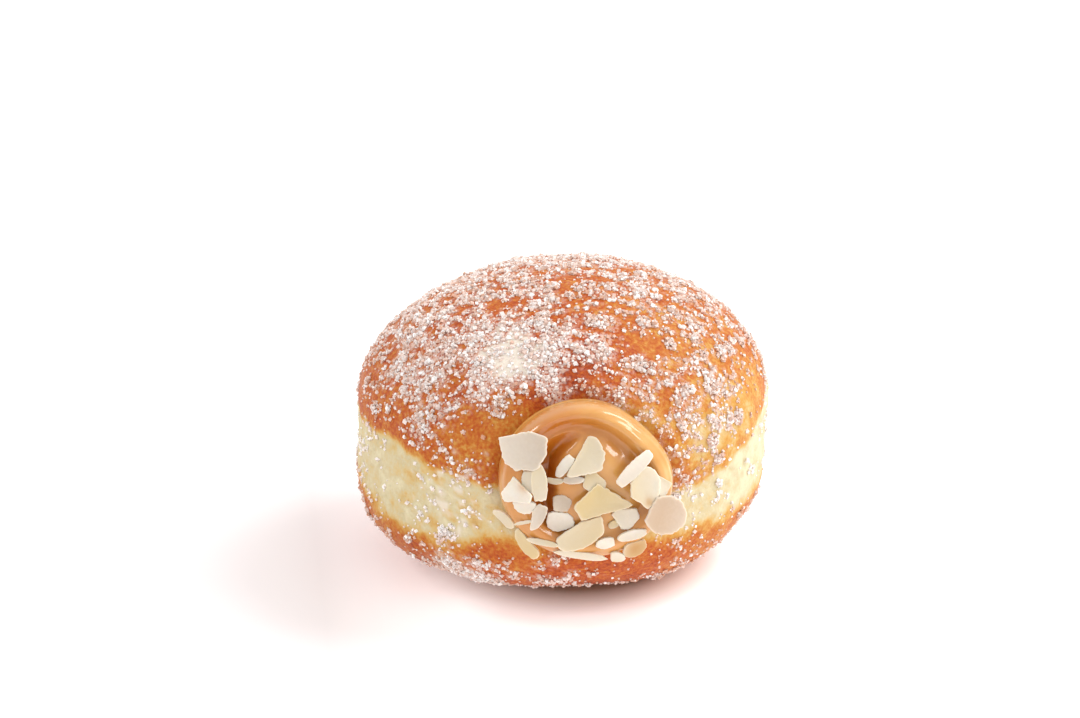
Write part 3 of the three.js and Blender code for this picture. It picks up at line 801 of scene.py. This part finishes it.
def buildFlake(row, pile, random):
    turn, place, normal = flakeLie(row)
    off = almond["dropFrom"] - dropOf(row, turn, place, normal, pile)
    halfLong, halfWide = (side / 2 for side in row["size"])
    half = almond["thickness"] / 2
    dish = halfWide * almond["dish"]
    bend, twist = random.uniform(-almond["bend"], almond["bend"], 2)
    jagged = random.uniform(0, 100)
    fade = random.uniform(*almond["fade"])
    shadeAngle = random.uniform(0, 2 * math.pi)
    # share of the way out and of the half thickness, over the top and back below
    over = [(0, 1), (0.3, 1), (0.55, 1), (0.75, 1), (0.9, 0.97), (0.97, 0.8), (1, 0.35)]
    profile = over + [(out, -thick) for out, thick in reversed(over)]
    marks = {}

    def placeAt(share, angle):
        at = share * (len(profile) - 1)
        out, thick = (np.interp(at, range(len(profile)), column) for column in zip(*profile))
        ragged = [
            sum(
                depth * noise.noise(Vector((math.cos(a) * notches, math.sin(a) * notches, jagged)))
                for notches, depth in almond["ragged"]
            )
            for a in angle
        ]
        reach = flakeReach(row, angle) * (1 + np.array(ragged)) * out
        x = reach * np.cos(angle)
        y = reach * np.sin(angle)
        curl = bend * (x / halfLong) ** 2 + twist * (x / halfLong) * (y / halfWide)
        z = half * thick - dish * (1 - out**2) + curl
        marks["rim"] = out
        # painted shade, sloping across the flake
        marks["tone"] = fade * (x / halfLong * math.cos(shadeAngle) + y / halfWide * math.sin(shadeAngle))
        along, across, size, strength = row["mark"]
        marks["skin"] = strength * bump(np.hypot(x - along, y - across) / size)
        return fromHole(np.stack([x, y, z], -1) @ turn.T + place + normal * off)

    piece = pressBall("flake", almond["segments"], almond["rings"], placeAt)
    writeAttribute(piece, "tone", row["tone"] + marks["tone"])
    writeAttribute(piece, "skin", marks["skin"])
    # painted light: the rim is paler where light would pass through the thin edge
    begin, strength = almond["paintedRimLight"]
    writeAttribute(piece, "rim", strength * smoothstep(begin, 1, marks["rim"]))
    return piece


def buildAlmonds(swirlTree):
    random = np.random.default_rng(almond["seed"])
    pile = [swirlTree]
    pieces = []
    for row in flakes:
        pieces.append(buildFlake(row, pile, random))
        pile.append(treeOf(pieces[-1]))
    selectOnly(*pieces)
    bpy.ops.object.join()
    almonds = bpy.context.object
    almonds.name = "almondFlakes"
    return almonds


sugar = {
    "seed": 23,
    # sizes and heights in mm; a crystal's middle stands off the crust by a share of its size,
    # strays lie outside the patches, and a round heap 2 mm across has crowd + least crystals
    "fine": {"tries": 60000, "most": 16000, "size": (0.26, 0.44), "off": 0.15, "stray": 0.05},
    "coarse": {"tries": 27000, "most": 14000, "size": (0.46, 0.76), "off": 0.12, "stray": 0.008},
    "heaps": {"size": (0.4, 0.72), "off": 0.15, "height": 0.55, "lowest": 0.2, "crowd": 14, "least": 3},
    "solidClumps": {"seed": 11, "count": 88, "half": (0.8, 1.7), "stretch": (0.7, 1), "apart": 3.2},
    "moreClumps": {"tries": 1620, "count": 180, "half": (0.6, 1.6), "stretch": (0.5, 1)},
    # clear of the swirl, as a share of its rim, and of the floor, in mm
    "clear": {"crystals": (1.03, 1.5), "moreClumps": (1.12, 3), "solidClumps": (1.3, 5)},
    "block": (0.7, 1.25, 0.09),  # shortest and longest side for its size, and its corners' play
    "cover": [  # azimuth, latitude, spread, share of the crust under sugar
        (-92, 48, 16, 0.42), (-72, 38, 12, 0.72), (-62, 62, 14, 0.35), (-50, 44, 8, 0.8),
        (-36, 46, 8, 0.95), (-22, 44, 9, 1.0), (-7, 46, 7, 0.95), (4, 49, 6, 0.8), (-47, 34, 4, 0.1),
        (-34, 35, 5, 1.0), (-11, 35, 5, 0.85), (-58, 25, 8, 0.62), (-44, 23, 6, 0.5), (-31, 29, 4, 0.8),
        (-84, 18, 9, 0.15), (-63, 11, 7, 0.08), (-29, 20, 6, 0), (-21, 27, 5, 0), (-37, 9, 8, 0.12),
        (0, 37, 6, 0.04), (10, 34, 6, 0.6), (22, 35, 6, 0.42), (29, 45, 6, 0.05), (44, 42, 7, 0.16),
        (36, 33, 5, 0.45), (32, 25, 4, 0.5), (42, 19, 6, 0.62), (50, 31, 7, 0.38), (62, 38, 8, 0.4),
        (67, 23, 7, 0.05), (82, 30, 9, 0.3), (57, 14, 6, 0.08), (-28, 72, 14, 0.38), (18, 74, 12, 0.02),
        (5, 60, 8, 0.05), (-20, 58, 8, 0.55), (30, 58, 9, 0.45), (70, 60, 14, 0.36), (-36, 1, 6, 0.3),
        (-62, -4, 12, 0.04), (-88, -3, 14, 0.02), (31, 4, 5, 0.35), (55, -3, 14, 0.03),
        (-52, -17, 8, 0.1), (-38, -27, 7, 0.9), (-27, -22, 4, 0.6), (-24, -11, 7, 0.03),
        (-8, -22, 4, 0.4), (10, -22, 8, 0.04), (40, -24, 14, 0.1), (150, 50, 40, 0.5),
        (-150, 50, 35, 0.5), (180, 0, 40, 0.12), (-110, -25, 30, 0.2), (120, -25, 35, 0.15),
        (0, -75, 30, 0.15),
    ],
    "elsewhere": (0.001, 0.2),  # weight and share where no row of cover reaches
    "patches": [(5.0, 0.55), (2.2, 0.6), (1.1, 0.9)],  # mm across, and weight
    "patchEdge": 0.2,
    "bandStray": 0.15,  # strays on the pale band, as a share of those on the crust
    "milky": (0.7, 0.3),  # how milky a crystal is by chance, and how much more under full cover
    "bandMilky": 0.78,  # at least, where the pale band shows through it
    # painted highlight: a share of crystals painted purest white as glints
    "paintedGlints": 0.1,  # the share that is purest white
    "dust": 0.95,
    "caked": [  # azimuth, latitude, spread, size of the edge's noise in mm, how full and opaque
        (-29, 42, 11, 2.8, 1, 0.92), (-37, -1, 14, 1.8, 0.62, 0.75), (-40, -25, 9, 1.6, 0.8, 0.4),
    ],
    "cakeEdge": (0.6, 0.5, 0.75),  # weight of its noise, and where the cake begins and is full
    "buried": 0.7,  # the share of crystals that the cake has taken in
}


def sugarCover(toward):
    weight, share = sugar["elsewhere"]
    weights = np.full(len(toward), weight)
    covered = weights * share
    for *zone, share in sugar["cover"]:
        weight = inZone(toward, *zone)
        weights += weight
        covered += weight * share
    return covered / weights


# The share of sugar at each point: 1 in a patch, 0 between patches
def sugarShare(toward, points):
    cover = np.clip(sugarCover(toward), 0.01, 0.99)
    patch = noiseSum(points, sugar["patches"], 31)
    # the noise spreads about 0.33 to either side, so this leaves the wanted share above it
    threshold = 0.2 * np.log((1 - cover) / cover)
    return smoothstep(-sugar["patchEdge"], sugar["patchEdge"], patch - threshold)


# Where damp sugar has set to a smooth white cake
def cakedAt(toward, points):
    caked = np.zeros(len(toward))
    weight, begin, end = sugar["cakeEdge"]
    for *zone, size, full, opaque in sugar["caked"]:
        near = full * inZone(toward, *zone) + weight * noiseAt(points, size, 37)
        caked = np.maximum(caked, opaque * smoothstep(begin, end, near))
    return caked


# Which places are off the swirl and far enough over the floor
def clearAt(places, kind):
    share, lowest = sugar["clear"][kind]
    return ~nearSwirl(toHole(places), share) & (places[..., 2] > lowest)


def randomDirections(random, count):
    z = random.uniform(-1, 1, count)
    azimuth = random.uniform(-math.pi, math.pi, count)
    level = np.sqrt(1 - z * z)
    return np.stack([level * np.sin(azimuth), -level * np.cos(azimuth), z], -1)


# Where the crust is met from outside, and the way it faces there
def landOn(crustTree, toward):
    waist = Vector((0, 0, bun["waistHeight"]))
    outside = 90
    hits = [crustTree.ray_cast(waist + Vector(way) * outside, -Vector(way)) for way in toward]
    places, normals = zip(*(hit[:2] for hit in hits))
    return np.array(places), np.array(normals)


# Small blocks with uneven corners, turned every way, and kept inside the solid's box
def buildCrystals(name, toward, centres, sizes, random, material):
    count = len(centres)
    cube = np.array([(x, y, z) for x in (-1, 1) for y in (-1, 1) for z in (-1, 1)]) / 2
    shortest, longest, play = sugar["block"]
    corners = cube * random.uniform(shortest, longest, (count, 1, 3))
    corners = corners + random.uniform(-play, play, (count, 8, 3))
    axes = random.normal(size=(count, 4))
    w, x, y, z = (axes / np.linalg.norm(axes, axis=1)[:, None]).T
    turns = np.stack([
        1 - 2 * (y * y + z * z), 2 * (x * y - z * w), 2 * (x * z + y * w),
        2 * (x * y + z * w), 1 - 2 * (x * x + z * z), 2 * (y * z - x * w),
        2 * (x * z - y * w), 2 * (y * z + x * w), 1 - 2 * (x * x + y * y),
    ], -1).reshape(-1, 3, 3)
    placed = np.einsum("nij,nkj->nki", turns, corners * sizes[:, None, None]) + centres[:, None, :]
    low, high = (np.array(corner) / mm for corner in cadBox)
    inside = ((placed > low) & (placed < high)).all(axis=(1, 2))
    placed = placed[inside]
    byChance, byCover = sugar["milky"]
    milky = random.uniform(0, byChance, len(placed)) + byCover * sugarCover(toward[inside])
    # painted glints: these crystals take the whitest colour
    milky += random.uniform(size=len(placed)) < sugar["paintedGlints"]
    crusted = browningAt(toward[inside], placed.mean(axis=1))[1]
    milky = np.maximum(milky, sugar["bandMilky"] * (1 - crusted))
    sides = np.array([
        (0, 1, 3, 2), (4, 6, 7, 5), (0, 4, 5, 1), (2, 3, 7, 6), (0, 2, 6, 4), (1, 5, 7, 3),
    ])
    faces = (np.arange(len(placed))[:, None, None] * 8 + sides).reshape(-1, 4)
    mesh = bpy.data.meshes.new(name)
    mesh.from_pydata((placed * mm).reshape(-1, 3), [], faces)
    mesh.materials.append(material)
    piece = bpy.data.objects.new(name, mesh)
    bpy.context.collection.objects.link(piece)
    writeAttribute(piece, "milky", np.repeat(np.clip(milky, 0, 1), 8))
    return piece


def scatterCrystals(name, rule, crustTree, random, material):
    toward = randomDirections(random, rule["tries"])
    flat = crustPoints(toward)
    clear = clearAt(flat, "crystals")
    toward, flat = toward[clear], flat[clear]
    onBand = sugar["bandStray"]
    stray = rule["stray"] * (onBand + (1 - onBand) * browningAt(toward, flat)[1])
    share = np.maximum(sugarShare(toward, flat), stray) * (1 - sugar["buried"] * cakedAt(toward, flat))
    toward = toward[random.uniform(size=len(toward)) < share][: rule["most"]]
    places, normals = landOn(crustTree, toward)
    sizes = random.uniform(*rule["size"], len(places))
    centres = places + normals * (sizes * rule["off"])[:, None]
    print(name, len(places), "crystals")
    return buildCrystals(name, toward, centres, sizes, random, material)


# The same draws as the solid's clumps have, so that each heap stands where a clump does
def seededRandom(seed):
    whole = 0xFFFFFFFF
    state = seed

    def draw():
        nonlocal state
        state = (state + 0x6D2B79F5) & whole
        mixed = ((state ^ (state >> 15)) * (1 | state)) & whole
        mixed = ((mixed + (((mixed ^ (mixed >> 7)) * (61 | mixed)) & whole)) & whole) ^ mixed
        return ((mixed ^ (mixed >> 14)) & whole) / 4294967296

    return draw


# Each clump: place, direction, turn, half its breadth, and its length's share of that
def solidClumps():
    rule = sugar["solidClumps"]
    narrow, wide = rule["half"]
    least, most = rule["stretch"]
    draw = seededRandom(rule["seed"])
    found = []
    while len(found) < rule["count"]:
        azimuth = 360 * draw()
        latitude = math.degrees(math.asin(2 * draw() - 1))
        toward = direction(azimuth, latitude)[None, :]
        wanted = draw() < sugarCover(toward)[0]
        spin = 360 * draw()
        half = narrow + (wide - narrow) * draw()
        stretch = least + (most - least) * draw()
        place = crustPoints(toward)[0]
        crowded = any(np.linalg.norm(other[0] - place) < rule["apart"] for other in found)
        if wanted and clearAt(place, "solidClumps") and not crowded:
            found.append((place, toward[0], spin, half, stretch))
    return found


def moreClumps(random):
    rule = sugar["moreClumps"]
    toward = randomDirections(random, rule["tries"])
    places = crustPoints(toward)
    wanted = random.uniform(size=len(toward)) < sugarShare(toward, places)
    kept = clearAt(places, "moreClumps") & wanted
    return [
        (*spot, 360 * random.uniform(), random.uniform(*rule["half"]), random.uniform(*rule["stretch"]))
        for spot in zip(places[kept][: rule["count"]], toward[kept])
    ]


# A clump is a heap of crystals, highest in its middle
def buildClumps(crustTree, random, material):
    rule = sugar["heaps"]
    ways = []
    lifts = []
    for place, toward, spin, half, stretch in solidClumps() + moreClumps(random):
        count = int(rule["crowd"] * half * half * stretch) + rule["least"]
        share = np.sqrt(random.uniform(size=count))
        angle = random.uniform(0, 2 * math.pi, count)
        x = half * share * np.cos(angle)
        y = half * stretch * share * np.sin(angle)
        spin = math.radians(spin)
        lie = Vector((0, 0, 1)).rotation_difference(Vector(toward))
        across = np.array(lie @ Vector((math.cos(spin), math.sin(spin), 0)))
        up = np.array(lie @ Vector((-math.sin(spin), math.cos(spin), 0)))
        points = place + x[:, None] * across + y[:, None] * up
        ways.append(points - np.array([0, 0, bun["waistHeight"]]))
        lifts.append(rule["height"] * (1 - share**2) * random.uniform(rule["lowest"], 1, count))
    toward = np.concatenate(ways)
    toward /= np.linalg.norm(toward, axis=1)[:, None]
    places, normals = landOn(crustTree, toward)
    sizes = random.uniform(*rule["size"], len(places))
    centres = places + normals * (np.concatenate(lifts) + rule["off"] * sizes)[:, None]
    print("sugarClumps", len(places), "crystals")
    return buildCrystals("sugarClumps", toward, centres, sizes, random, material)


studio = {
    "camera": (-7, 23, 0.667),  # azimuth, elevation, distance in m
    "aimHeight": 29.4 * mm,
    "lens": 100,
    "shift": (-0.02, 0.058),
    "world": 1.0,
    "lights": [  # name, the same, size in m and power in W
        ("keySoftbox", (105, 48, 1.0), 0.42, 4.3),
        ("rightSoftbox", (74, 37, 1.0), 0.3, 2.4),
        ("leftSoftbox", (-100, 44, 1.0), 0.25, 2.0),
    ],
}


# A place round the doughnut, and the turn that faces its middle from there
def aimedFrom(azimuth, elevation, distance):
    aim = Vector((0, 0, studio["aimHeight"]))
    spot = Vector(direction(azimuth, elevation)) * distance + aim
    return {"location": spot, "rotation": (aim - spot).to_track_quat("-Z", "Y").to_euler()}


def buildStudio():
    bpy.ops.object.camera_add(**aimedFrom(*studio["camera"]))
    camera = bpy.context.object
    camera.data.lens = studio["lens"]
    camera.data.shift_x, camera.data.shift_y = studio["shift"]
    camera.data.clip_start = 0.01
    bpy.context.scene.camera = camera
    for name, place, size, power in studio["lights"]:
        bpy.ops.object.light_add(type="AREA", **aimedFrom(*place))
        light = bpy.context.object
        light.name = name
        light.data.size = size
        light.data.energy = power
    world = bpy.data.worlds.new("whiteRoom")
    world.use_nodes = True
    background = world.node_tree.nodes["Background"]
    background.inputs["Color"].default_value = (1, 1, 1, 1)
    background.inputs["Strength"].default_value = studio["world"]
    bpy.context.scene.world = world
    bpy.context.scene.view_settings.view_transform = "Standard"


paper = {
    "size": 6,  # in m
    "below": 0.05 * mm,
    # painted shade: the warm colour by the foot is a painted contact shadow and bounce
    "shades": ("#f4d5b8", "#f1ebeb"),  # warm by the doughnut, and white away from it
    "foot": (3 * mm, -4 * mm, 0),
    "away": (21 * mm, 34 * mm),  # from the foot, where the white begins and is full
    "across": (-55 * mm, -25 * mm),  # where the glow begins and is full, right of the shadow
    # painted light: the paper's glow, with its colour and strength
    "paintedGlow": ("#fffaf8", 0.42),
}


# Matt white paper, painted warm close to the doughnut as painted shadow and bounce from the crust.
# It has a painted glow too, but not where the doughnut stands or where its shadow falls.
def paperMaterial():
    material, tree = newMaterial("whitePaper")
    coords = addNode(tree, "TexCoord", out="Object")
    begin, full = paper["away"]
    settings = {"operation": "DISTANCE", 1: paper["foot"]}
    away = addNode(tree, "VectorMath", settings, {0: coords}, out="Value")
    clear = addNode(tree, "MapRange", {"From Min": begin, "From Max": full}, {"Value": away})
    begin, full = paper["across"]
    paintedGlow, strength = paper["paintedGlow"]
    across = addNode(tree, "SeparateXYZ", None, {0: coords})
    settings = {"From Min": begin, "From Max": full, "To Max": strength}
    lit = addNode(tree, "MapRange", settings, {"Value": across})
    paintedGlowing = addNode(tree, "Math", {"operation": "MULTIPLY"}, {0: clear, 1: lit})
    near, far = paper["shades"]
    settings = {"data_type": "RGBA", 6: colour(near), 7: colour(far)}
    shade = addNode(tree, "Mix", settings, {0: clear}, out=2)
    setShader(tree, {
        "Roughness": 0.9,
        "Specular IOR Level": 0.1,
        "Emission Color": colour(paintedGlow),
    }, {"Base Color": shade, "Emission Strength": paintedGlowing})
    return material


def layPaper():
    bpy.ops.mesh.primitive_plane_add(size=paper["size"], location=(0, 0, -paper["below"]))
    floor = bpy.context.object
    floor.name = "paperFloor"
    floor.data.materials.append(paperMaterial())


buildStudio()
layPaper()
print("studio ready")
crust = buildCrust()
crustTree = treeOf(crust)
print("crust shaped", len(crust.data.polygons))
caramel, swirlTree = buildCaramel(crust)
print("caramel shaped", len(caramel.data.polygons))
cutOrJoin(crust, pressPocket("hollow", pocket["gap"]), "DIFFERENCE")
print("crust hollowed", len(crust.data.polygons))
almonds = buildAlmonds(swirlTree)
print("almonds laid", len(almonds.data.polygons))
random = np.random.default_rng(sugar["seed"])
sugarLook = sugarMaterial()
clumps = buildClumps(crustTree, random, sugarLook)
coarse = scatterCrystals("sugarCoarse", sugar["coarse"], crustTree, random, sugarLook)
fine = scatterCrystals("sugarFine", sugar["fine"], crustTree, random, sugarLook)
print("sugar scattered")

for piece, material in [
    (crust, friedDoughMaterial()), (caramel, caramelCreamMaterial()), (almonds, almondMaterial()),
]:
    piece.data.materials.clear()
    piece.data.materials.append(material)
    smooth(piece)

for piece in (crust, clumps, coarse, fine):
    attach(piece, "root")
for piece in (caramel, almonds):
    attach(piece, "root")
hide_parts("sugared_dough")
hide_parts("caramel_with_almonds")
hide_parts("caramel_with_almonds")
print("finishes set")
